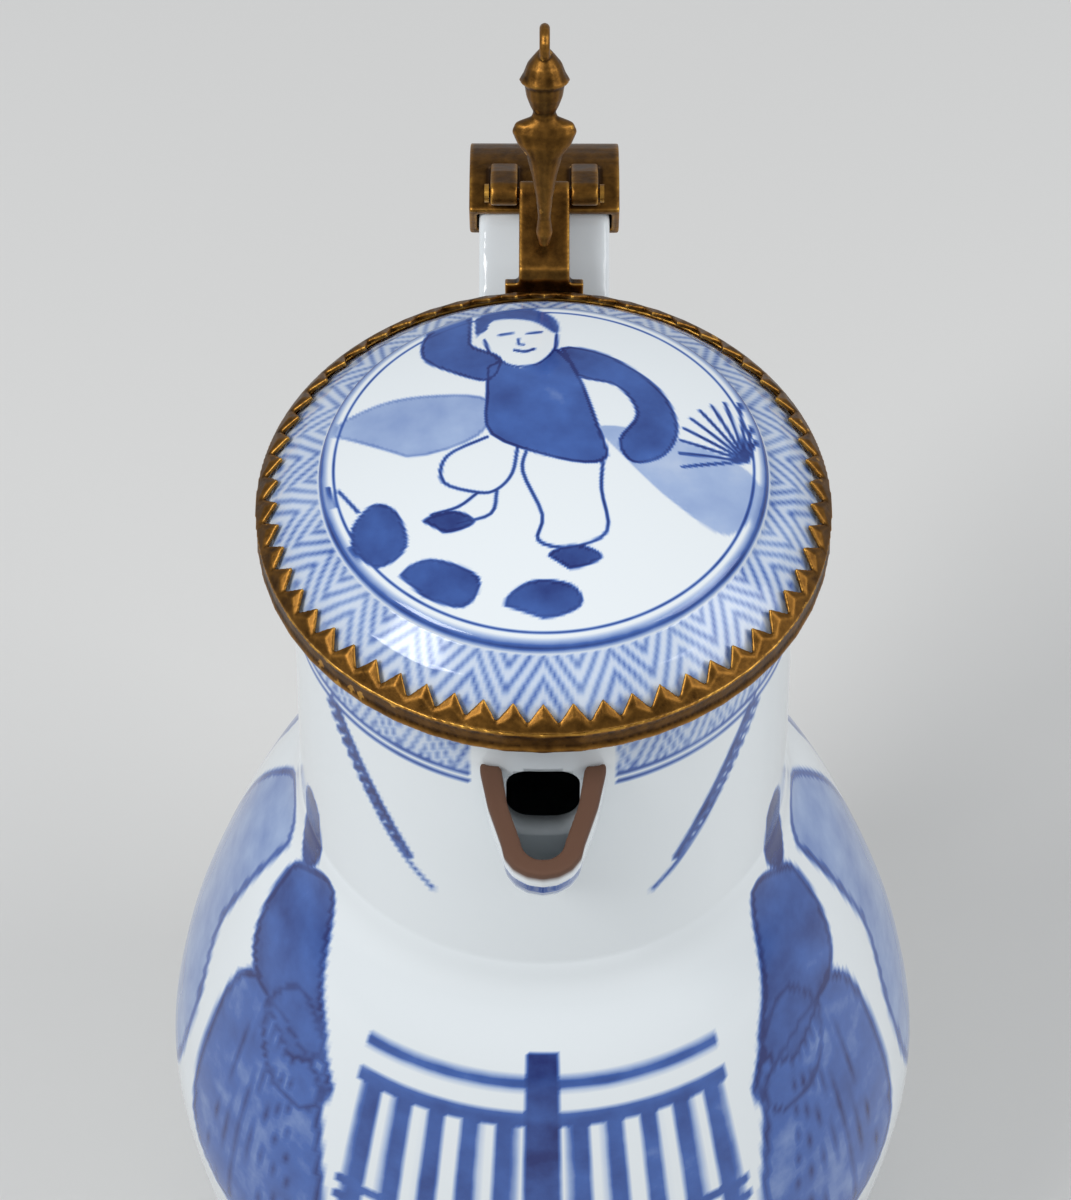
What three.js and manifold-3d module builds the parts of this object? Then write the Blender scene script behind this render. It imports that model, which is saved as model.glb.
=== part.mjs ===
// A blue-and-white porcelain coffee pot with a gilt-metal hinged lid mount.
// Millimetres, +Z up, the spout towards -Y and the handle towards +Y.
import * as THREE from "three";
import { mergeVertices } from "three/addons/utils/BufferGeometryUtils.js";
import Module from "manifold-3d";

const wasm = await Module();
wasm.setup();

// Driving dimensions
const gap = 0.3; // between pieces that touch
const rimHeight = 200; // foot to the lower edge of the lid's band
const bellyRadius = 66;
const bellyHeight = 55; // of the widest circle above the foot
const neckRadius = 39.5; // at the rim
const neckFoot = 40.6; // radius where neck meets shoulder
const neckLength = 65;
const wall = 3.6;
const footRadius = 42;
const footHeight = 5;
const footWidth = 4.5;
const bandRadius = 45;
const bandHeight = 5;
const bandWall = 1.1;
const leafCount = 58;
const leafReach = 3.5; // how far the leaf tips bend in over the lid
const leafRise = 3.3;
const leafWall = 0.7;
const lidRise = 19; // dome above the band's lower edge
const ringRadius = 34.6; // raised edge round the painted roundel
const flangeRadius = 34;
const flangeDepth = 6;
const flangeWall = 2.6;
const spoutWidth = 21;
const spoutTipWidth = 12.7;
const spoutReach = 60; // lip from the pot's axis
const spoutTop = -10; // below the band's lower edge
const spoutBottom = -41;
const spoutWall = 3;
const strapWidth = 21.5;
const strapWall = 6;
const mountWall = 1.3;
const mountFront = 62; // where the saddle starts and ends along the handle
const mountBack = 77;
const hingeY = 60; // hinge axis behind the pot's axis
const hingeZ = 12.5; // hinge axis above the band's lower edge
const knuckleRadius = 2;
const pinRadius = 1;
const pinPlay = 0.08;
const centreKnuckle = 8.2;
const outerKnuckle = 4.4;
const figureHeight = 34;
const figureLean = 0.37; // radians backwards
const figureWidth = 10.5;

const seatZ = 0.8 + gap; // underside of the lid's porcelain above the band's lower edge
const lidEdge = bandRadius - bandWall - gap;
const round = 48;

// A closed geometry as a solid for joining and cutting
function solid(geometry) {
  const bare = geometry.index ? geometry.toNonIndexed() : geometry.clone();
  bare.deleteAttribute("normal");
  bare.deleteAttribute("uv");
  const merged = mergeVertices(bare, 1e-4);
  return new wasm.Manifold(new wasm.Mesh({
    numProp: 3,
    vertProperties: merged.attributes.position.array,
    triVerts: new Uint32Array(merged.index.array),
  }));
}

function geometryOf(made) {
  const mesh = made.getMesh();
  return new THREE.BufferGeometry()
    .setAttribute("position", new THREE.BufferAttribute(new Float32Array(mesh.vertProperties), 3))
    .setIndex(new THREE.BufferAttribute(new Uint32Array(mesh.triVerts), 1))
    .toNonIndexed();
}

// A profile of [radius, height] turned about Z, facing out whichever way it runs
function turned(profile, sides = round) {
  const points = profile.map(([r, z]) => new THREE.Vector2(r, z));
  const geometry = new THREE.LatheGeometry(points, sides).rotateX(Math.PI / 2);
  return outward(geometry);
}

function outward(geometry) {
  const bare = geometry.index ? geometry.toNonIndexed() : geometry;
  const p = bare.attributes.position;
  let volume = 0;
  const [a, b, c] = [new THREE.Vector3(), new THREE.Vector3(), new THREE.Vector3()];
  for (let i = 0; i < p.count; i += 3) {
    a.fromBufferAttribute(p, i);
    b.fromBufferAttribute(p, i + 1);
    c.fromBufferAttribute(p, i + 2);
    volume += a.dot(b.cross(c));
  }
  if (volume < 0) {
    for (let i = 0; i < p.count; i += 3) {
      a.fromBufferAttribute(p, i + 1);
      b.fromBufferAttribute(p, i + 2);
      p.setXYZ(i + 1, b.x, b.y, b.z);
      p.setXYZ(i + 2, a.x, a.y, a.z);
    }
  }
  return bare;
}

// Rings of points joined in order, with both ends closed by fans
function loft(rings) {
  const sides = rings[0].length;
  const corners = [];
  const tri = (...points) => points.forEach((v) => corners.push(v.x, v.y, v.z));
  rings.slice(1).forEach((ring, k) => {
    const below = rings[k];
    for (let i = 0; i < sides; i++) {
      const j = (i + 1) % sides;
      tri(below[i], below[j], ring[j]);
      tri(below[i], ring[j], ring[i]);
    }
  });
  [rings[0], rings.at(-1)].forEach((ring, end) => {
    const middle = ring.reduce((sum, v) => sum.add(v), new THREE.Vector3()).divideScalar(sides);
    for (let i = 0; i < sides; i++) {
      const j = (i + 1) % sides;
      if (end) tri(ring[i], ring[j], middle);
      else tri(ring[j], ring[i], middle);
    }
  });
  const geometry = new THREE.BufferGeometry();
  geometry.setAttribute("position", new THREE.Float32BufferAttribute(corners, 3));
  return outward(geometry);
}

// A side outline of [y, z] pushed out to a width along X
function sideways(outline, width) {
  const shape = new THREE.Shape(outline.map(([y, z]) => new THREE.Vector2(y, z)));
  const geometry = new THREE.ExtrudeGeometry(shape, { depth: width, bevelEnabled: false });
  geometry.translate(0, 0, -width / 2);
  const turn = new THREE.Matrix4().makeBasis(
    new THREE.Vector3(0, 1, 0), new THREE.Vector3(0, 0, 1), new THREE.Vector3(1, 0, 0));
  return outward(geometry.applyMatrix4(turn));
}

function rod(radius, length, x = 0, sides = 24) {
  return outward(new THREE.CylinderGeometry(radius, radius, length, sides).rotateZ(Math.PI / 2)
    .translate(x, hingeY, rimHeight + hingeZ));
}

// Outer line of the body from the foot to the rim, grown by a clearance
function bodyLine(grow = 0) {
  const shoulderZ = rimHeight - neckLength;
  const curve = new THREE.CatmullRomCurve3([
    [footRadius, footHeight],
    [0.9 * bellyRadius, 0.42 * bellyHeight],
    [bellyRadius, bellyHeight],
    [0.975 * bellyRadius, bellyHeight + 0.25 * (shoulderZ - bellyHeight)],
    [0.89 * bellyRadius, bellyHeight + 0.5 * (shoulderZ - bellyHeight)],
    [0.77 * bellyRadius, bellyHeight + 0.76 * (shoulderZ - bellyHeight)],
    [neckFoot + 2.2, shoulderZ - 5],
    [neckFoot, shoulderZ + 3],
  ].map(([r, z]) => new THREE.Vector3(r, z, 0)), false, "centripetal");
  const line = curve.getPoints(13).map((v) => [v.x + grow, v.y]);
  return [...line, [neckRadius + 0.3 + grow, rimHeight - 12], [neckRadius + grow, rimHeight + 0.5]];
}

function bodyGeometry() {
  const outer = bodyLine();
  const inner = bodyLine(-wall).filter(([, z]) => z > footHeight + wall).reverse();
  const profile = [
    [0, footHeight - 1.5],
    [footRadius - footWidth - 1, footHeight - 1.5],
    [footRadius - footWidth, 0],
    [footRadius - 0.6, 0],
    [footRadius, 0.8],
    ...outer,
    [neckRadius - 0.8, rimHeight + 0.8],
    [neckRadius - wall + 0.8, rimHeight + 0.8],
    ...inner,
    [footRadius - wall, footHeight + wall],
    [0, footHeight + wall],
  ];
  const hole = spoutForm(-spoutWall, spoutTop - 1, spoutBottom + 14, neckRadius - 8);
  return geometryOf(solid(turned(profile)).subtract(solid(hole)));
}

// A beak with a round nose, grown or shrunk all round, from the neck outwards
function spoutForm(grow, top, bottom, back) {
  const steps = 9;
  const rings = [];
  for (let k = 0; k <= steps; k++) {
    const share = k / steps;
    const z = rimHeight + bottom + (top - bottom) * share;
    const climb = (z - rimHeight - spoutBottom) / (spoutTop - spoutBottom);
    const swell = Math.sin(Math.min(1, Math.max(0.02, climb)) * Math.PI / 2);
    const reach = neckRadius + (spoutReach - neckRadius) * Math.pow(swell, 1.25) + grow;
    const half = (spoutWidth / 2) * (0.42 + 0.58 * swell) + grow;
    const nose = (spoutTipWidth / 2) * (0.42 + 0.58 * swell) + grow;
    const ring = [new THREE.Vector3(half, -back, z)];
    ring.push(new THREE.Vector3((half + nose) / 2, -(neckRadius + reach) / 2 + nose / 2, z));
    for (let i = 0; i <= 8; i++) {
      const turn = (i / 8) * Math.PI;
      ring.push(new THREE.Vector3(nose * Math.cos(turn), -(reach - nose) - nose * Math.sin(turn), z));
    }
    ring.push(new THREE.Vector3(-(half + nose) / 2, -(neckRadius + reach) / 2 + nose / 2, z));
    ring.push(new THREE.Vector3(-half, -back, z));
    rings.push(ring);
  }
  return loft(rings);
}

function spoutGeometry() {
  const outside = solid(spoutForm(0, spoutTop, spoutBottom, neckRadius - 4));
  const inside = solid(spoutForm(-spoutWall, spoutTop + 4, spoutBottom + 6, neckRadius - 8));
  const neck = solid(turned([[0, 0], ...bodyLine(gap), [0, rimHeight + 0.5]]));
  return geometryOf(outside.subtract(inside).subtract(neck));
}

// Middle line of the strap handle in the YZ plane, heights from the band's lower edge
const strapLine = new THREE.CatmullRomCurve3([
  [36, -18], [46, -9.5], [57, 1], [66, 4.5], [74, 3], [81, -7],
  [84, -24], [82, -46], [76, -66], [65, -84], [50, -95],
].map(([y, z]) => new THREE.Vector3(0, y, rimHeight + z)), false, "centripetal");

// Outline of a band that follows the strap, from one share of its length to another
function strapOutline(above, below, from = 0, to = 1, steps = 24) {
  const upper = [];
  const lower = [];
  for (let i = 0; i <= steps; i++) {
    const at = from + (to - from) * (i / steps);
    const p = strapLine.getPointAt(at);
    const t = strapLine.getTangentAt(at);
    upper.push([p.y - t.z * above, p.z + t.y * above]);
    lower.push([p.y + t.z * below, p.z - t.y * below]);
  }
  return [...upper, ...lower.reverse()];
}

function handleGeometry() {
  const half = strapWall / 2;
  const strap = solid(sideways(strapOutline(half, half), strapWidth));
  const pot = solid(turned([[0, 0], ...bodyLine(gap), [0, rimHeight + 0.5]]));
  return geometryOf(strap.subtract(pot));
}

// Share of the strap's length at which it reaches a distance behind the axis, before its outermost point
function shareAt(y) {
  let share = 0;
  while (share < 0.5 && strapLine.getPointAt(share).y < y) share += 0.002;
  return share;
}

function handleMountGeometry() {
  const half = strapWall / 2;
  const [from, to] = [shareAt(mountFront), shareAt(mountBack)];
  const outer = half + gap + mountWall;
  const blank = solid(sideways(strapOutline(outer, outer, from, to, 12), strapWidth + 2 * (gap + mountWall)));
  const room = solid(sideways(strapOutline(half + gap, half + gap), strapWidth + 2 * gap));
  let mount = blank.subtract(room);
  // an arm from the top of the saddle forwards and up to each outer knuckle
  const knee = rimHeight + hingeZ;
  const arm = [
    [hingeY - 1.2, knee - 1.4], [hingeY + 0.5, knee + knuckleRadius - 0.1], [hingeY + 4.5, knee + 0.6],
    [hingeY + 9, knee - 2.2], [hingeY + 9, knee - 4.6], [hingeY + 3, knee - 5.0],
  ];
  for (const side of [-1, 1]) {
    const x = side * (centreKnuckle / 2 + gap + outerKnuckle / 2);
    mount = mount.add(solid(sideways(arm, outerKnuckle).translate(x, 0, 0)));
    mount = mount.add(solid(rod(knuckleRadius, outerKnuckle, x)));
  }
  const bore = solid(rod(pinRadius + pinPlay, 40));
  const swing = solid(rod(knuckleRadius + gap, centreKnuckle + 2 * gap));
  return geometryOf(mount.subtract(room).subtract(bore).subtract(swing));
}

function lidGeometry() {
  const at = (list) => list.map(([r, z]) => [r, rimHeight + z]);
  const dome = [];
  for (let i = 0; i <= 8; i++) {
    const r = (ringRadius - 1.4) * (1 - i / 8);
    dome.push([r, 13.6 + (lidRise - 13.6) * (1 - (r / (ringRadius - 1.4)) ** 2)]);
  }
  return turned(at([
    [0, lidRise - 4], [17, lidRise - 5.4], [27, lidRise - 8.4], [flangeRadius - flangeWall, 6],
    [flangeRadius - flangeWall, -flangeDepth], [flangeRadius, -flangeDepth], [flangeRadius + 0.2, seatZ],
    [lidEdge, seatZ], [lidEdge, bandHeight - 0.6], [lidEdge - 2, bandHeight + 1.6], [39, 9.2],
    [ringRadius + 0.3, 11.7], [ringRadius, 12.7], [ringRadius - 0.6, 13.3], ...dome,
  ]));
}

function bandGeometry() {
  const at = (list) => list.map(([r, z]) => [r, rimHeight + z]);
  return turned(at([
    [neckRadius + 0.8, 0], [bandRadius - 0.4, 0], [bandRadius, 0.4], [bandRadius, 1.0],
    [bandRadius - 0.35, 1.3], [bandRadius - 0.35, bandHeight - 0.9], [bandRadius, bandHeight - 0.6],
    [bandRadius, bandHeight - gap], [bandRadius - bandWall, bandHeight - gap],
    [bandRadius - bandWall, 0.8], [neckRadius + 0.8, 0.8], [neckRadius + 0.8, 0],
  ]));
}

// A ring of pointed leaves that stands on the band and bends in over the lid's edge
function leafGeometry() {
  const perLeaf = 2;
  const count = leafCount * perLeaf;
  const rings = [];
  for (let i = 0; i < count; i++) {
    const angle = (i / count) * 2 * Math.PI;
    const phase = (i % perLeaf) / perLeaf;
    const tip = 0.35 + 0.65 * (1 - Math.abs(2 * phase - 1));
    const section = [
      [bandRadius, bandHeight], [bandRadius - 0.45 * leafReach * tip, bandHeight + 0.62 * leafRise * tip],
      [bandRadius - leafReach * tip, bandHeight + leafRise * tip],
      [bandRadius - leafReach * tip - 0.3, bandHeight + leafRise * tip - leafWall],
      [bandRadius - bandWall - 0.3 * leafReach * tip + 0.2, bandHeight + 0.3 * leafRise * tip],
      [bandRadius - bandWall + 0.2, bandHeight],
    ];
    rings.push(section.map(([r, z]) =>
      new THREE.Vector3(r * Math.cos(angle), r * Math.sin(angle), rimHeight + z)));
  }
  const corners = [];
  const tri = (...points) => points.forEach((v) => corners.push(v.x, v.y, v.z));
  rings.forEach((ring, k) => {
    const next = rings[(k + 1) % count];
    ring.forEach((v, i) => {
      const j = (i + 1) % ring.length;
      tri(v, ring[j], next[j]);
      tri(v, next[j], next[i]);
    });
  });
  const geometry = new THREE.BufferGeometry();
  geometry.setAttribute("position", new THREE.Float32BufferAttribute(corners, 3));
  return outward(geometry);
}

// The lid's half of the hinge: a foot on the band, a neck and the middle knuckle
function hingeLeafGeometry() {
  const foot = bandRadius + gap;
  const knee = rimHeight + hingeZ;
  const outline = [
    [foot, rimHeight + 0.6], [foot + 1.4, rimHeight + 0.6], [foot + 1.6, rimHeight + bandHeight - 0.6],
    [foot + 7, rimHeight + 7.4], [hingeY - 1, knee - knuckleRadius + 0.1], [hingeY - 0.8, knee + 1.6],
    [foot + 6, rimHeight + 11], [foot + 1, rimHeight + bandHeight + 4.2],
    [foot, rimHeight + bandHeight + 2.6],
  ];
  const arm = solid(sideways(outline, centreKnuckle)).add(solid(sideways([
    [foot, rimHeight + 0.6], [foot + 1.4, rimHeight + 0.6],
    [foot + 2.2, rimHeight + bandHeight + 0.6], [foot, rimHeight + bandHeight + 1.6],
  ], 12.7)));
  const bore = solid(rod(pinRadius + pinPlay, 40));
  return geometryOf(arm.add(solid(rod(knuckleRadius, centreKnuckle))).subtract(bore));
}

function hingePinGeometry() {
  const length = centreKnuckle + 2 * (outerKnuckle + gap) + 1;
  const heads = [-1, 1].map((side) => solid(rod(pinRadius + 0.5, 0.7, side * (length / 2 + 0.1))));
  return geometryOf(heads.reduce((made, head) => made.add(head), solid(rod(pinRadius, length))));
}

// A helmeted bust on a tapering foot, leaning back over the hinge leaf
function figureGeometry() {
  const sections = [
    [0, 0.16, 0.3], [0.06, 0.26, 0.36], [0.14, 0.2, 0.3], [0.24, 0.26, 0.34], [0.36, 0.4, 0.42],
    [0.46, 0.56, 0.5], [0.52, 0.84, 0.52], [0.58, 1, 0.46], [0.62, 0.9, 0.38], [0.65, 0.42, 0.3],
    [0.68, 0.34, 0.3], [0.71, 0.44, 0.42], [0.76, 0.56, 0.54], [0.82, 0.62, 0.62], [0.84, 0.78, 0.72],
    [0.87, 0.66, 0.66], [0.92, 0.54, 0.58], [0.96, 0.34, 0.4], [0.985, 0.2, 0.3], [1, 0.08, 0.12],
  ];
  const sides = 16;
  const rings = sections.map(([share, width, depth]) => {
    const ring = [];
    for (let i = 0; i < sides; i++) {
      const turn = (i / sides) * 2 * Math.PI;
      ring.push(new THREE.Vector3(
        (figureWidth / 2) * width * Math.cos(turn),
        (figureWidth / 2) * depth * Math.sin(turn),
        share * figureHeight));
    }
    return ring;
  });
  const plume = outward(new THREE.TorusGeometry(2.4, 0.9, 8, 16).rotateY(Math.PI / 2)
    .translate(0, 0.4, figureHeight + 0.6));
  return geometryOf(solid(loft(rings)).add(solid(plume)))
    .rotateX(-figureLean)
    .translate(0, bandRadius + gap + 4, rimHeight + bandHeight + 7);
}

const porcelain = { color: 0xe3e9ea, roughness: 0.18, metalness: 0 };
const gilt = { color: 0xb08a48, roughness: 0.35, metalness: 1 };

const pot = new THREE.Group();
const piece = (name, geometry, finish) => {
  const mesh = new THREE.Mesh(geometry, new THREE.MeshStandardMaterial(finish));
  mesh.name = name;
  pot.add(mesh);
};

piece("body", bodyGeometry(), porcelain);
piece("spout", spoutGeometry(), porcelain);
piece("handle", handleGeometry(), porcelain);
piece("lid", lidGeometry(), porcelain);
piece("lid_band", bandGeometry(), gilt);
piece("leaf_border", leafGeometry(), gilt);
piece("hinge_leaf", hingeLeafGeometry(), gilt);
piece("hinge_pin", hingePinGeometry(), gilt);
piece("handle_mount", handleMountGeometry(), gilt);
piece("thumbpiece", figureGeometry(), gilt);

// The origin is under the middle of the whole pot, handle included
const box = new THREE.Box3().setFromObject(pot);
pot.position.set(-(box.min.x + box.max.x) / 2, -(box.min.y + box.max.y) / 2, -box.min.z);
const group = new THREE.Group();
group.add(pot);

export default group;
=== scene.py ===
import math

import bmesh
import bpy
import numpy as np
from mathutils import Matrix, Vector


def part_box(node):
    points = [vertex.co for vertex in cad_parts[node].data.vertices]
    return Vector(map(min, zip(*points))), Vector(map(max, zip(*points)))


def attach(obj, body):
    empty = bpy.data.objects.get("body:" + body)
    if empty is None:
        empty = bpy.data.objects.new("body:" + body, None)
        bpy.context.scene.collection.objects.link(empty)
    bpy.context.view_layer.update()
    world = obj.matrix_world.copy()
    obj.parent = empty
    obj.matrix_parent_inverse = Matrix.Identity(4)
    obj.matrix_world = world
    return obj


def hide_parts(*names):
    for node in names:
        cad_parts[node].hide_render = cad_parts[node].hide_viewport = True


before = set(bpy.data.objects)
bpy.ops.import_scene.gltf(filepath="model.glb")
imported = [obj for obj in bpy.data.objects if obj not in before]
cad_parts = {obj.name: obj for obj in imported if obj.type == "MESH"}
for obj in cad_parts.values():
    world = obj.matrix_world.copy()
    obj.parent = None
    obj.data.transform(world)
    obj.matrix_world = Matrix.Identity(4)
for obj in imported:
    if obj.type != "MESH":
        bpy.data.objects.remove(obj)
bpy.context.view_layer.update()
mm = 0.001


def middle(node):
    low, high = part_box(node)
    return (Vector(low) + Vector(high)) / 2


axisY = middle("body").y  # the pot turns round an upright line here
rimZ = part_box("lid_band")[0][2]

# sizes below are in mm unless a note says otherwise; heights are above the floor
pot = {
    "foot": 42, "footTall": 5, "belly": 66, "bellyAt": 55, "neckFoot": 40.6, "neck": 39.5,
    "neckTall": 65, "rim": 200, "wall": 3.6, "around": 350, "bellySteps": 22, "neckSteps": 70,
}
cover = {
    "ring": 34.6, "rise": 19, "edge": 43.6, "flange": 34, "flangeDepth": 6, "around": 420,
    "crownFoot": 13.6, "crownSteps": 90,
}
glaze = {"white": "#E3E9EC", "pale": "#9DB2D6", "blue": "#3F62AA", "dark": "#18296B", "lip": "#5F4130"}
gilding = {"gold": "#D9A64C", "mid": "#94682E", "dark": "#39240F"}


def linear(hexColour):
    parts = [int(hexColour[i:i + 2], 16) / 255 for i in (1, 3, 5)]
    return (*[c / 12.92 if c <= 0.04045 else ((c + 0.055) / 1.055) ** 2.4 for c in parts], 1)


# a setting that starts with in_ goes to the input of that name
def addNode(tree, kind, links=(), **settings):
    node = tree.nodes.new(kind)
    for key, value in settings.items():
        if key.startswith("in_"):
            node.inputs[key[3:].replace("_", " ")].default_value = value
        else:
            setattr(node, key, value)
    for source, target in links:
        tree.links.new(source, node.inputs[target])
    return node


def newMaterial(name):
    made = bpy.data.materials.new(name)
    made.use_nodes = True
    tree = made.node_tree
    return made, tree, tree.nodes["Principled BSDF"]


def ramp(tree, source, stops):
    node = addNode(tree, "ShaderNodeValToRGB", [(source, "Fac")])
    elements = node.color_ramp.elements
    while len(elements) < len(stops):
        elements.new(0.5)
    for element, (at, colour) in zip(elements, stops):
        element.position = at
        element.color = linear(colour)
    return node


# hard-paste porcelain, painted in cobalt under a clear glaze: bluish white, wet gloss
def glazedPorcelain():
    made, tree, shader = newMaterial("glazedPorcelain")
    coords = addNode(tree, "ShaderNodeTexCoord").outputs["Object"]
    paint = addNode(tree, "ShaderNodeAttribute", attribute_name="blue")
    # brush pooling, about 8 mm across, makes the blue lighter and darker
    pooling = addNode(tree, "ShaderNodeTexNoise", [(coords, "Vector")], in_Scale=130, in_Detail=5)
    varied = addNode(tree, "ShaderNodeMath", [(pooling.outputs["Fac"], 0)], operation="MULTIPLY_ADD")
    varied.inputs[1].default_value = 0.9
    varied.inputs[2].default_value = 0.55
    tone = addNode(tree, "ShaderNodeMath", [(paint.outputs["Fac"], 0), (varied.outputs[0], 1)],
                   operation="MULTIPLY")
    colour = ramp(tree, tone.outputs[0], [
        (0, glaze["white"]), (0.3, glaze["pale"]), (0.62, glaze["blue"]), (1, glaze["dark"])])
    # the spout's lip has lost its glaze: brown and dull
    wear = addNode(tree, "ShaderNodeAttribute", attribute_name="bare")
    bare = addNode(tree, "ShaderNodeMix", [(wear.outputs["Fac"], 0), (colour.outputs[0], 6)],
                   data_type="RGBA")
    bare.inputs[7].default_value = linear(glaze["lip"])
    tree.links.new(bare.outputs[2], shader.inputs["Base Color"])
    rough = addNode(tree, "ShaderNodeMapRange", [(wear.outputs["Fac"], 0)])
    rough.inputs["To Min"].default_value = 0.12
    rough.inputs["To Max"].default_value = 0.8
    tree.links.new(rough.outputs[0], shader.inputs["Roughness"])
    # the glaze lies in faint ripples, about 17 mm apart
    ripple = addNode(tree, "ShaderNodeTexNoise", [(coords, "Vector")], in_Scale=60)
    bump = addNode(tree, "ShaderNodeBump", [(ripple.outputs["Fac"], "Height")],
                   in_Strength=0.05, in_Distance=0.0008)
    tree.links.new(bump.outputs[0], shader.inputs["Normal"])
    return made


# cast metal, gilded: dark brown in its hollows and gold on raised edges, with specks of grime
def giltDarkInHollows():
    made, tree, shader = newMaterial("giltDarkInHollows")
    coords = addNode(tree, "ShaderNodeTexCoord").outputs["Object"]
    # grime in specks of 2 to 3 mm
    grime = addNode(tree, "ShaderNodeTexNoise", [(coords, "Vector")],
                    in_Scale=380, in_Detail=6, in_Roughness=0.65).outputs["Fac"]
    shape = addNode(tree, "ShaderNodeNewGeometry")
    # pointiness gives 0 in hollows and 1 on raised edges, so the gilding goes dark brown in hollows and gold
    # on edges
    edge = addNode(tree, "ShaderNodeMapRange", [(shape.outputs["Pointiness"], 0)])
    edge.inputs["From Min"].default_value = 0.47
    edge.inputs["From Max"].default_value = 0.56
    both = addNode(tree, "ShaderNodeMath", [(grime, 0), (edge.outputs[0], 1)], operation="MULTIPLY_ADD")
    both.inputs[2].default_value = 0.12
    colour = ramp(tree, both.outputs[0], [
        (0.2, gilding["dark"]), (0.46, gilding["mid"]), (0.8, gilding["gold"])])
    tree.links.new(colour.outputs[0], shader.inputs["Base Color"])
    shader.inputs["Metallic"].default_value = 1
    rough = addNode(tree, "ShaderNodeMapRange", [(grime, 0)])
    rough.inputs["To Min"].default_value = 0.25
    rough.inputs["To Max"].default_value = 0.55
    tree.links.new(rough.outputs[0], shader.inputs["Roughness"])
    bump = addNode(tree, "ShaderNodeBump", [(grime, "Height")], in_Strength=0.35, in_Distance=0.0004)
    tree.links.new(bump.outputs[0], shader.inputs["Normal"])
    return made


porcelainLook = glazedPorcelain()
giltLook = giltDarkInHollows()


def placePiece(name, mesh, look, body, node):
    piece = bpy.data.objects.new(name, mesh)
    bpy.context.collection.objects.link(piece)
    mesh.materials.clear()
    mesh.materials.append(look)
    for face in mesh.polygons:
        face.use_smooth = True
    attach(piece, body)
    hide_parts(node)
    return piece


# a Catmull-Rom line through the points, with so many steps between each two
def smoothLine(points, steps):
    p = [np.array(q, float) for q in points]
    p = [2 * p[0] - p[1], *p, 2 * p[-1] - p[-2]]
    line = []
    for a, b, c, d in zip(p, p[1:], p[2:], p[3:]):
        for t in np.linspace(0, 1, steps, endpoint=False):
            line.append(0.5 * (2 * b + (c - a) * t + (2 * a - 5 * b + 4 * c - d) * t ** 2
                               + (3 * b - 3 * c + d - a) * t ** 3))
    return [*line, p[-2]]


# the same line for a brush stroke, or closed for a painted patch
def brushLine(outline, closed=True, steps=4):
    p = [*outline[-2:], *outline, *outline[:2]] if closed else outline
    line = smoothLine(p, steps)
    return line[2 * steps:-2 * steps] if closed else line


# a straight run between two places on a profile, both ends included
def evenRun(start, end, count):
    return list(zip(np.linspace(start[0], end[0], count), np.linspace(start[1], end[1], count)))


# a profile of radius and height, turned round the pot's axis
def turnProfile(profile, around):
    bm = bmesh.new()
    line = [bm.verts.new((r * mm, axisY, z * mm)) for r, z in profile]
    edges = [bm.edges.new(pair) for pair in zip(line, line[1:])]
    bmesh.ops.spin(bm, geom=line + edges, cent=(0, axisY, 0), axis=(0, 0, 1),
                   angle=2 * math.pi, steps=around, use_merge=True)
    bmesh.ops.remove_doubles(bm, verts=bm.verts, dist=1e-6)
    bmesh.ops.recalc_face_normals(bm, faces=bm.faces)
    mesh = bpy.data.meshes.new("turned")
    bm.to_mesh(mesh)
    bm.free()
    return mesh


def bakeModifiers(blank):
    bpy.context.view_layer.update()
    graph = bpy.context.evaluated_depsgraph_get()
    return bpy.data.meshes.new_from_object(blank.evaluated_get(graph))


# The painting. Tone runs from 0, bare glaze, to 1, the darkest blue. It is worked out at each vertex
# from patches, lines and stripes, whose soft is the width over which an edge fades.

def setTone(mesh, name, values):
    layer = mesh.attributes.new(name, "FLOAT", "POINT")
    layer.data.foreach_set("value", np.asarray(values, np.float32))


# the vertices in mm, with the pot's axis at x = y = 0
def spots(mesh):
    flat = np.empty(len(mesh.vertices) * 3)
    mesh.vertices.foreach_get("co", flat)
    x, y, z = (flat.reshape(-1, 3) / mm).T
    return x, y - axisY / mm, z


def toSegment(x, y, a, b):
    dx, dy = b[0] - a[0], b[1] - a[1]
    t = np.clip(((x - a[0]) * dx + (y - a[1]) * dy) / (dx * dx + dy * dy + 1e-12), 0, 1)
    return np.hypot(x - a[0] - t * dx, y - a[1] - t * dy)


def toLine(x, y, line):
    near = np.full(len(x), 1e9)
    for a, b in zip(line, line[1:]):
        near = np.minimum(near, toSegment(x, y, a, b))
    return near


def fade(depth, soft):
    return np.clip(depth / soft + 0.5, 0, 1)


def lineTone(x, y, line, width, tone, soft=0.3):
    return tone * fade(width / 2 - toLine(x, y, line), soft)


def stripeTone(values, at, width, tone, soft):
    return tone * fade(width / 2 - np.abs(values - at), soft)


# a wash, with a darker outline where line is over 0
def patchTone(x, y, outline, tone, line=0.0, soft=0.5):
    q = np.array(outline, float)
    inside = np.zeros(len(x), bool)
    for (ax, ay), (bx, by) in zip(q, np.roll(q, -1, axis=0)):
        crosses = (ay > y) != (by > y)
        run = (bx - ax) * (y - ay) / (by - ay if by != ay else 1e-9) + ax
        inside ^= crosses & (x < run)
    near = toLine(x, y, [*q, q[0]])
    outlineTone = line * np.clip(1.5 - near / (0.64 * soft), 0, 1)
    return np.maximum(tone * fade(np.where(inside, near, -near), soft), outlineTone)


# hatching along the sides of interlocking triangles, which shows as zigzags
def hatchedTriangles(along, up, period, tall):
    share = np.abs((along / period) % 1 * 2 - 1)
    level = up / tall
    lean = np.abs(share - level)
    stripes = 0.5 + 0.5 * np.cos(lean * 2 * math.pi * 2.5)
    return np.where((level > 0) & (level < 1), 0.14 + 0.42 * stripes ** 2, 0)


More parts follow.
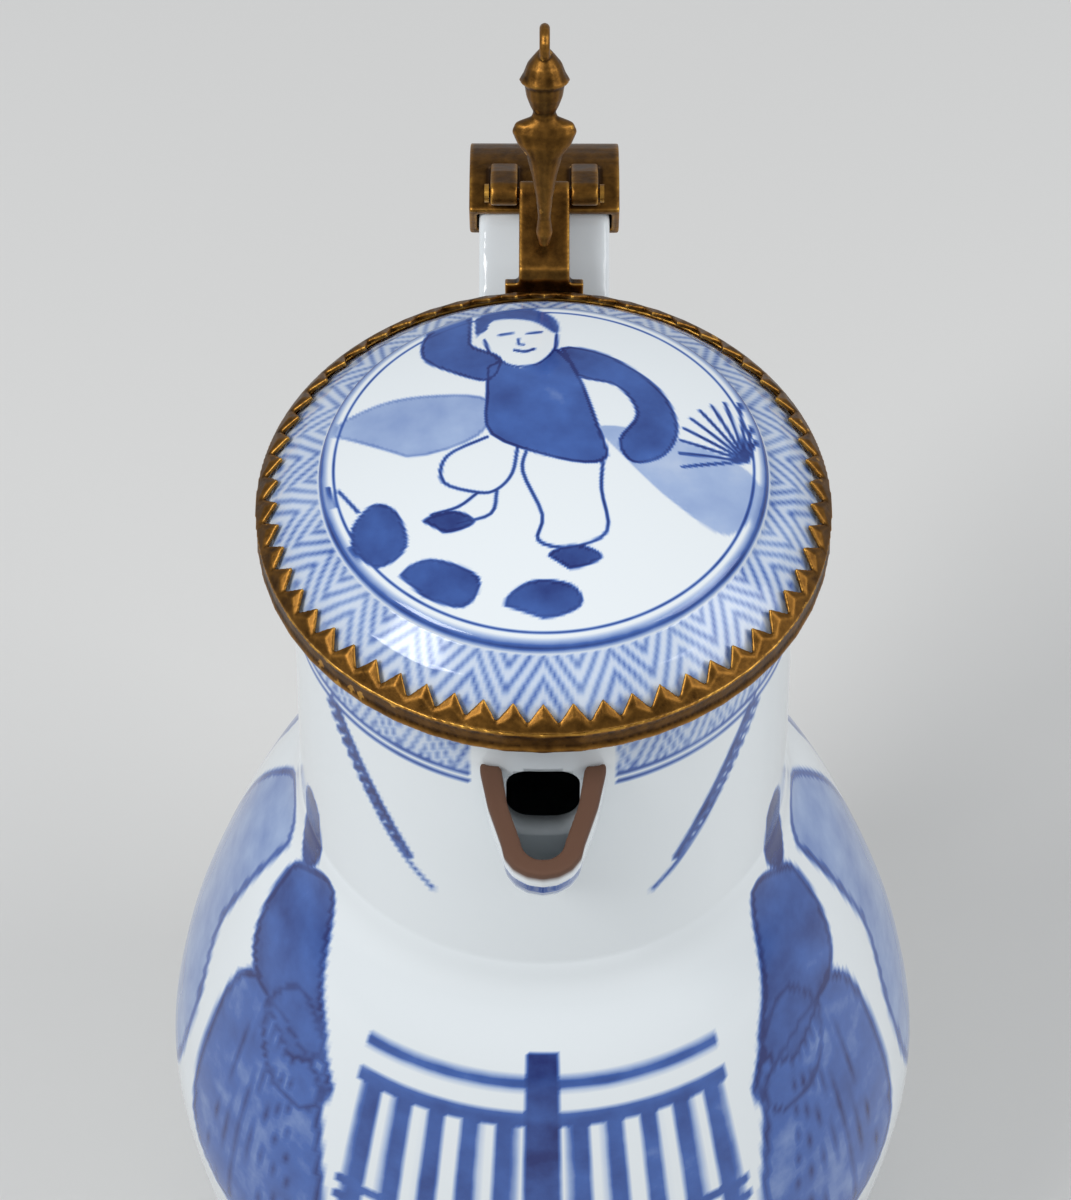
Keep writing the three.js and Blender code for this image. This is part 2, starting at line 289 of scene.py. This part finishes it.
# places on the lid are seen from above: x to the right, y towards the handle
roundel = {
    "washes": [  # outline, tone, tone of its edge
        ([(-32.7, 6.8), (-25.7, 11.5), (-16.4, 11.9), (-8.7, 9.9), (-10.2, 2.8), (-21, -0.2)], 0.36, 0.5),
        ([(8.4, 3.8), (16.1, 3.8), (30, -0.2), (33, -6), (28, -13.5), (20, -9), (14, -3)], 0.3, 0.3),
    ],
    "jacket": [
        ([(-11.8, 31), (-18, 28), (-18.9, 21.9), (-14.9, 17.9), (-8.7, 14.9), (-7, 20), (-11.8, 24)],
         0.72, 1),
        ([(-8.7, 17.9), (2.2, 21.9), (8.4, 3.8), (9.1, -2.2), (2.2, -2.2), (-7.9, 2.8), (-8.7, 11.9)],
         0.7, 1),
        ([(2.9, 22.3), (9.9, 20.9), (17.7, 13.9), (20.5, 5.8), (18.4, -0.2), (13.8, -2.2), (11.8, 1.8),
          (14.6, 7.8), (11.5, 13.9), (5.3, 15.9)], 0.74, 1),
        ([(-10.6, 31), (-4, 33), (0.5, 30), (1.6, 26), (-2, 29), (-7, 30), (-10.5, 27)], 0.8, 0.9),
    ],
    "shoes": [
        ([(-18, -13), (-13.5, -12), (-10.8, -14), (-15, -15.2)], 0.85, 1),
        ([(1, -20), (5, -18.4), (8.6, -20), (4, -22)], 0.85, 1),
    ],
    "rocks": [
        ([(-29, -12.5), (-26, -9), (-22.6, -11), (-21, -17), (-25, -19.8), (-29, -16)], 0.8, 0.9),
        ([(-21.4, -22), (-17, -20), (-10, -23.5), (-12, -27.8), (-18, -25.6)], 0.8, 0.9),
        ([(-5.6, -28), (-2, -24.6), (4, -25), (5.4, -28), (0, -30)], 0.8, 0.9),
    ],
    "face": [(-9.4, 25), (-7.5, 31.3), (-3.4, 31), (1, 28), (2, 24), (-0.6, 18.5), (-5.5, 18)],
    "hair": [(-10.6, 31), (-4, 34), (1.5, 31), (2, 26.4), (-2, 30), (-8, 30.4), (-10.6, 26)],
    "lines": [  # points and width: the face, the trousers, the ankles and the hill
        ([(-9.4, 25), (-8.2, 21), (-5, 18), (-1, 18.4), (1.6, 22), (2, 26)], 0.5),
        ([(-7, 26.2), (-5, 26.6)], 0.5),
        ([(-2.6, 26.4), (-0.4, 26.8)], 0.5),
        ([(-4.6, 22), (-3, 21.6), (-1.6, 22.2)], 0.55),
        ([(-4, 25), (-4, 23.6), (-3.2, 23.4)], 0.4),
        ([(-8.7, 2.2), (-14.9, -1.2), (-15.3, -6.2), (-10, -8.6), (-7.1, -8.2), (-4.8, -5.2), (-4, 0)], 0.5),
        ([(-2.5, -0.2), (-3.2, -5), (-0.2, -13), (-0.8, -17.5), (4, -18.6), (9.6, -15.6), (8.8, -8),
          (9.1, -2)], 0.5),
        ([(-10, -8.6), (-13, -11), (-17, -12)], 0.5),
        ([(-7.1, -8.2), (-8, -12.6), (-13, -14)], 0.5),
        ([(-31.5, -5), (-28.4, -9.6)], 0.5),
        ([(-33, -4), (-32, -8)], 0.4),
    ],
    "lineTone": 0.95,
    "grass": {"root": (31.4, 1), "long": (10.5, 12.5), "blades": 11, "from": 70, "step": 12.5, "width": 0.55},
    "edge": 34,
    "rings": [(cover["ring"] - 0.2, 0.8), (cover["ring"] - 2.2, 0.35)],  # radius and width
    "ringTone": 0.85,
    "border": {"from": 35.2, "wide": 7.6, "triangles": 22},
}


def paintLid(mesh):
    x, y, z = spots(mesh)
    r = np.hypot(x, y)
    tone = np.zeros(len(x))
    for group in ("washes", "jacket", "shoes", "rocks"):
        for outline, fill, line in roundel[group]:
            tone = np.maximum(tone, patchTone(x, y, brushLine(outline), fill, line))
    face = patchTone(x, y, brushLine(roundel["face"]), 1)
    hair = patchTone(x, y, brushLine(roundel["hair"]), 0.85)
    tone = np.maximum(np.where(face > 0.5, 0, tone), hair)
    strokes = list(roundel["lines"])
    grass = roundel["grass"]
    rootX, rootY = grass["root"]
    for k in range(grass["blades"]):  # the tuft fans out from its root
        turn = math.radians(grass["from"] + k * grass["step"])
        tip = (rootX + grass["long"][0] * math.cos(turn), rootY + grass["long"][1] * math.sin(turn))
        strokes.append(([grass["root"], tip], grass["width"]))
    for line, width in strokes:
        tone = np.maximum(tone, lineTone(x, y, brushLine(line, False), width, roundel["lineTone"]))
    onTop = z > rimZ / mm + 3  # not the flange and the underside
    tone = np.where((r > roundel["edge"]) | ~onTop, 0, tone)
    for radius, width in roundel["rings"]:
        tone = np.maximum(tone, stripeTone(r, radius, width, roundel["ringTone"], 0.25))
    border = roundel["border"]
    along = np.arctan2(y, x) / (2 * math.pi) * border["triangles"]
    hatched = hatchedTriangles(along, r - border["from"], 1, border["wide"])
    tone = np.maximum(tone, np.where(r > border["from"] - 0.2, hatched, 0))
    setTone(mesh, "blue", np.where(onTop, tone, 0))


# places on the body are a distance round it from the spout, and a height; both sides are the same
scenery = {
    "perDegree": 0.85,  # the mm that a degree counts as, true where the radius is 49 mm
    "clearOfSpout": 16,  # degrees left without a border on each side
    "border": {"from": 13.5, "tall": 12, "period": 9.5, "radius": 40},  # from is below the rim
    "neckLines": [(14.2, 0.7), (15.8, 0.5)],  # below the rim, and width
    "footLines": [(12, 0.8), (14.5, 0.5)],
    "fence": {
        "rails": [(117, 2.2), (110.5, 2.4), (88, 2.0), (84.5, 1.6)], "half": 30,
        "bars": 5, "barStep": 5.4, "barWidth": 3.0, "barFrom": 62, "barTo": 110.5,
        "postWidth": 5.4, "postFrom": 58, "postTo": 122, "tone": 0.72, "postTone": 0.88,
    },
    "figures": [  # hair, sleeve and bodice, sash, robe, then two rocks
        ([(56, 146), (60, 148), (63, 143), (62, 134), (58, 131), (55, 136)], 0.95, 1),
        ([(48, 133), (56, 131), (61, 126), (58, 112), (50, 108), (42, 104), (37, 110), (42, 120)],
         0.74, 0.95),
        ([(38, 112), (45, 116), (50, 108), (46, 98), (38, 96), (34, 104)], 0.6, 0.9),
        ([(36, 104), (56, 108), (60, 86), (56, 62), (34, 58), (32, 84)], 0.62, 0.9),
        ([(66, 128), (78, 132), (88, 118), (92, 92), (86, 66), (70, 62), (66, 84), (70, 104)], 0.42, 0.8),
        ([(98, 120), (112, 126), (124, 108), (120, 76), (104, 64), (96, 88)], 0.5, 0.8),
    ],
    "folds": 7,
    "stem": [(48, 186), (42, 176), (35, 166), (28, 158), (22, 153)],
    "leaves": 12,
}


def paintBody(mesh):
    x, y, z = spots(mesh)
    turn = np.degrees(np.arctan2(x, -y))  # 0 at the spout, more to the right
    u = turn * scenery["perDegree"]
    rim = pot["rim"]
    outside = np.hypot(x, y) > np.interp(z, [0, 10, 150, 200], [0, 38, 38.6, 37.9])
    beside = np.abs(turn) > scenery["clearOfSpout"]
    border = scenery["border"]
    tone = hatchedTriangles(np.radians(turn) * border["radius"], z - (rim - border["from"]),
                            border["period"], border["tall"])
    for drop, width in scenery["neckLines"]:
        tone = np.maximum(tone, stripeTone(z, rim - drop, width, 0.75, 0.3))
    tone = np.where(beside, tone, 0)
    tone = np.maximum(tone, fenceTone(u, z, scenery["fence"]))
    for side in (-1, 1):
        tone = np.maximum(tone, sideTone(u * side, z))
    for height, width in scenery["footLines"]:
        tone = np.maximum(tone, stripeTone(z, height, width, 0.7, 0.3))
    setTone(mesh, "blue", np.where(outside, tone, 0))


def fenceTone(u, z, fence):
    tone = np.zeros(len(u))
    for height, width in fence["rails"]:
        rail = stripeTone(z, height, width, fence["tone"], 0.5)
        tone = np.maximum(tone, np.where(np.abs(u) < fence["half"], rail, 0))
    barred = (z > fence["barFrom"]) & (z < fence["barTo"])
    for k in range(-fence["bars"], fence["bars"] + 1):
        bar = stripeTone(u, fence["barStep"] * k, fence["barWidth"], fence["tone"], 0.5)
        tone = np.maximum(tone, np.where(barred, bar, 0))
    post = stripeTone(u, 0, fence["postWidth"], fence["postTone"], 0.5)
    return np.maximum(tone, np.where((z > fence["postFrom"]) & (z < fence["postTo"]), post, 0))


# a lady with rocks behind, and the spray that hangs over them
def sideTone(w, z):
    tone = np.zeros(len(w))
    for outline, fill, line in scenery["figures"]:
        tone = np.maximum(tone, patchTone(w, z, brushLine(outline), fill, line, 1.2))
    for k in range(scenery["folds"]):
        fold = [(34 + 3.4 * k, 60), (38 + 2.4 * k, 84), (42 + 1.6 * k, 106)]
        tone = np.maximum(tone, lineTone(w, z, brushLine(fold, False), 1.0, 0.95, 1.0))
    tone = np.maximum(tone, lineTone(w, z, brushLine(scenery["stem"], False), 0.9, 0.9, 0.9))
    for k in range(scenery["leaves"]):
        at = Vector((46 - 1.5 * k, 184 - 2.0 * k))
        for lean in (-1, 1):  # one leaf to each side of the stem, shorter towards its end
            tip = at + Vector((3.2 * lean - 1.2, -3.4 + 2.2 * lean)) * (1.3 - 0.07 * k)
            tone = np.maximum(tone, lineTone(w, z, [tuple(at), tuple(tip)], 1.7, 0.92, 0.9))
    return tone


def bodyPiece():
    shoulder = pot["rim"] - pot["neckTall"]
    rise = shoulder - pot["bellyAt"]
    neckStart = (pot["neckFoot"], shoulder + 3)
    belly = [
        (pot["foot"], pot["footTall"]),
        (0.9 * pot["belly"], 0.42 * pot["bellyAt"]),
        (pot["belly"], pot["bellyAt"]),
        (0.975 * pot["belly"], pot["bellyAt"] + 0.25 * rise),
        (0.89 * pot["belly"], pot["bellyAt"] + 0.5 * rise),
        (0.77 * pot["belly"], pot["bellyAt"] + 0.76 * rise),
        (pot["neckFoot"] + 2.2, shoulder - 5),
        neckStart,
    ]
    outer = [tuple(p) for p in smoothLine(belly, pot["bellySteps"])]
    outer += evenRun(neckStart, (pot["neck"], pot["rim"] + 0.5), pot["neckSteps"])[1:]
    inside = pot["footTall"] + pot["wall"]  # the height of the floor inside
    inner = [(r - pot["wall"], z) for r, z in outer[::6] if z > inside][::-1]
    foot = pot["foot"]
    lip = pot["rim"] + 0.8
    profile = [(0, 3.5), (foot - 5.5, 3.5), (foot - 4.5, 0.05), (foot - 0.6, 0.05), (foot, 0.8), *outer,
               (pot["neck"] - 0.8, lip), (pot["neck"] - 2.8, lip), *inner, (foot - 4, inside), (0, inside)]
    return cutSpoutHole(turnProfile(profile, pot["around"]))


spoutHole = {"wide": 11.4, "deep": 16, "tall": 16, "round": 3.6, "belowRim": 19.2}


def cutSpoutHole(mesh):
    bm = bmesh.new()
    bmesh.ops.create_cube(bm, size=1)
    size = Vector((spoutHole["wide"], spoutHole["deep"], spoutHole["tall"])) * mm
    bmesh.ops.scale(bm, vec=size, verts=bm.verts)
    throughEdges = [e for e in bm.edges if abs(e.verts[0].co.y - e.verts[1].co.y) > mm]
    bmesh.ops.bevel(bm, geom=throughEdges, offset=spoutHole["round"] * mm, segments=6, profile=0.5,
                    affect="EDGES", material=-1)
    front = axisY - pot["neck"] * mm
    height = (pot["rim"] - spoutHole["belowRim"]) * mm
    bmesh.ops.translate(bm, vec=(0, front, height), verts=bm.verts)
    cutter = bpy.data.meshes.new("cutter")
    bm.to_mesh(cutter)
    bm.free()
    blank = bpy.data.objects.new("blank", mesh)
    tool = bpy.data.objects.new("tool", cutter)
    for thing in (blank, tool):
        bpy.context.collection.objects.link(thing)
    cut = blank.modifiers.new("cut", "BOOLEAN")
    cut.object = tool
    cut.operation = "DIFFERENCE"
    cut.solver = "FAST"
    made = bakeModifiers(blank)
    for thing in (blank, tool):
        bpy.data.objects.remove(thing)
    return made


def lidPiece():
    ring = cover["ring"]
    edge = cover["edge"]
    flange = cover["flange"]
    foot = cover["crownFoot"]
    crownEdge = ring - 1.4
    crown = [(r, foot + (cover["rise"] - foot) * (1 - (r / crownEdge) ** 2))
             for r in np.linspace(crownEdge, 0, cover["crownSteps"])]
    slope = evenRun((edge - 2, 6.6), (39, 9.2), 9) + evenRun((39, 9.2), (ring + 0.3, 11.7), 14)[1:]
    profile = [(0, cover["rise"] - 4), (17, 13.6), (27, 10.6), (flange - 2.6, 6),
               (flange - 2.6, -cover["flangeDepth"]), (flange, -cover["flangeDepth"]), (flange + 0.2, 1.1),
               (edge, 1.1), (edge, 4.4), *slope, (ring, 12.7), (ring - 0.6, 13.3), *crown]
    return turnProfile([(r, z + pot["rim"]) for r, z in profile], cover["around"])


# a node's own shape, remeshed fine and smoothed as a casting or a thrown piece is
def softCopy(node, voxel, rounds):
    bm = bmesh.new()
    bm.from_mesh(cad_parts[node].data)
    bmesh.ops.remove_doubles(bm, verts=bm.verts, dist=1e-6)
    mesh = bpy.data.meshes.new(node)
    bm.to_mesh(mesh)
    bm.free()
    blank = bpy.data.objects.new("blank", mesh)
    bpy.context.collection.objects.link(blank)
    skin = blank.modifiers.new("skin", "REMESH")
    skin.mode = "VOXEL"
    skin.voxel_size = voxel * mm
    soft = blank.modifiers.new("soft", "SMOOTH")
    soft.factor = 0.5
    soft.iterations = rounds
    made = bakeModifiers(blank)
    bpy.data.objects.remove(blank)
    return made


bodyMesh = bodyPiece()
paintBody(bodyMesh)
placePiece("paintedBody", bodyMesh, porcelainLook, "pot", "body")
print("body done")

lidMesh = lidPiece()
paintLid(lidMesh)
placePiece("paintedLid", lidMesh, porcelainLook, "cover", "lid")
print("lid done")

# the top 2.6 mm is bare and fades at its lower edge, and a blue touch lies under the chin
spout = {"top": pot["rim"] - 10, "lip": 2.6, "fade": 1.4, "chinFrom": 9, "chinTo": 4, "chinAt": -54}
spoutMesh = softCopy("spout", 0.45, 6)
_, spoutY, spoutZ = spots(spoutMesh)
below = spout["top"] - spoutZ
setTone(spoutMesh, "bare", np.clip((spout["lip"] - below) / spout["fade"], 0, 1))
chin = (below > spout["chinTo"]) & (below < spout["chinFrom"]) & (spoutY < spout["chinAt"])
setTone(spoutMesh, "blue", np.where(chin, 0.75, 0))
placePiece("pinchedSpout", spoutMesh, porcelainLook, "pot", "spout")
placePiece("strapHandle", softCopy("handle", 0.8, 12), porcelainLook, "pot", "handle")
print("spout and handle done")

giltPieces = [  # node, body, voxel in mm and rounds of smoothing
    ("handle_mount", "pot", 0.32, 3), ("hinge_leaf", "cover", 0.3, 2), ("thumbpiece", "cover", 0.25, 3),
    ("lid_band", "cover", 0.45, 2), ("leaf_border", "cover", 0.22, 3),
]
for node, body, voxel, rounds in giltPieces:
    placePiece("gilt_" + node, softCopy(node, voxel, rounds), giltLook, body, node)
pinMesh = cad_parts["hinge_pin"].data
pinMesh.materials.clear()
pinMesh.materials.append(giltLook)
print("mount done")

floorMesh = bpy.data.meshes.new("floor")
bm = bmesh.new()
bmesh.ops.create_grid(bm, x_segments=1, y_segments=1, size=6)
bm.to_mesh(floorMesh)
bm.free()
floor = bpy.data.objects.new("floor", floorMesh)
bpy.context.collection.objects.link(floor)
floorLook, _, floorShader = newMaterial("paleFloor")
floorShader.inputs["Base Color"].default_value = linear("#DCDCDA")
floorShader.inputs["Roughness"].default_value = 0.7
floorMesh.materials.append(floorLook)

world = bpy.data.worlds.new("softRoom")
bpy.context.scene.world = world
world.use_nodes = True
sky = world.node_tree.nodes["Background"]
sky.inputs[0].default_value = linear("#E8EAEE")
sky.inputs[1].default_value = 0.55

rimCentre = Vector((0, axisY, rimZ))


# a square lamp that looks at the middle of the rim, places in metres
def lamp(name, at, size, power):
    light = bpy.data.lights.new(name, "AREA")
    light.size = size
    light.energy = power
    thing = bpy.data.objects.new(name, light)
    bpy.context.collection.objects.link(thing)
    thing.location = at
    thing.rotation_euler = (rimCentre - Vector(at)).to_track_quat("-Z", "Y").to_euler()


lamp("key", (-0.75, -0.45, 1.1), 0.5, 9)
lamp("fill", (0.9, -0.2, 0.8), 0.7, 5)

# the eye is 0.7 m from the rim's middle, which lies a little above and right of the view's middle
view = {"distance": 700 * mm, "elevation": 50.2, "lens": 134, "right": 1.25 * mm, "down": 11.7 * mm}
slope = math.radians(view["elevation"])
upward = Vector((0, math.sin(slope), math.cos(slope)))
eye = bpy.data.cameras.new("view")
eye.lens = view["lens"]
eye.sensor_width = 36
eye.sensor_fit = "AUTO"
eye.clip_start = 0.01
viewer = bpy.data.objects.new("view", eye)
bpy.context.collection.objects.link(viewer)
viewer.location = rimCentre + view["distance"] * Vector((0, -math.cos(slope), math.sin(slope)))
target = rimCentre - upward * view["down"] - Vector((view["right"], 0, 0))
viewer.rotation_euler = (target - viewer.location).to_track_quat("-Z", "Y").to_euler()
bpy.context.scene.camera = viewer

bpy.context.scene.view_settings.view_transform = "Standard"
print("scene done")
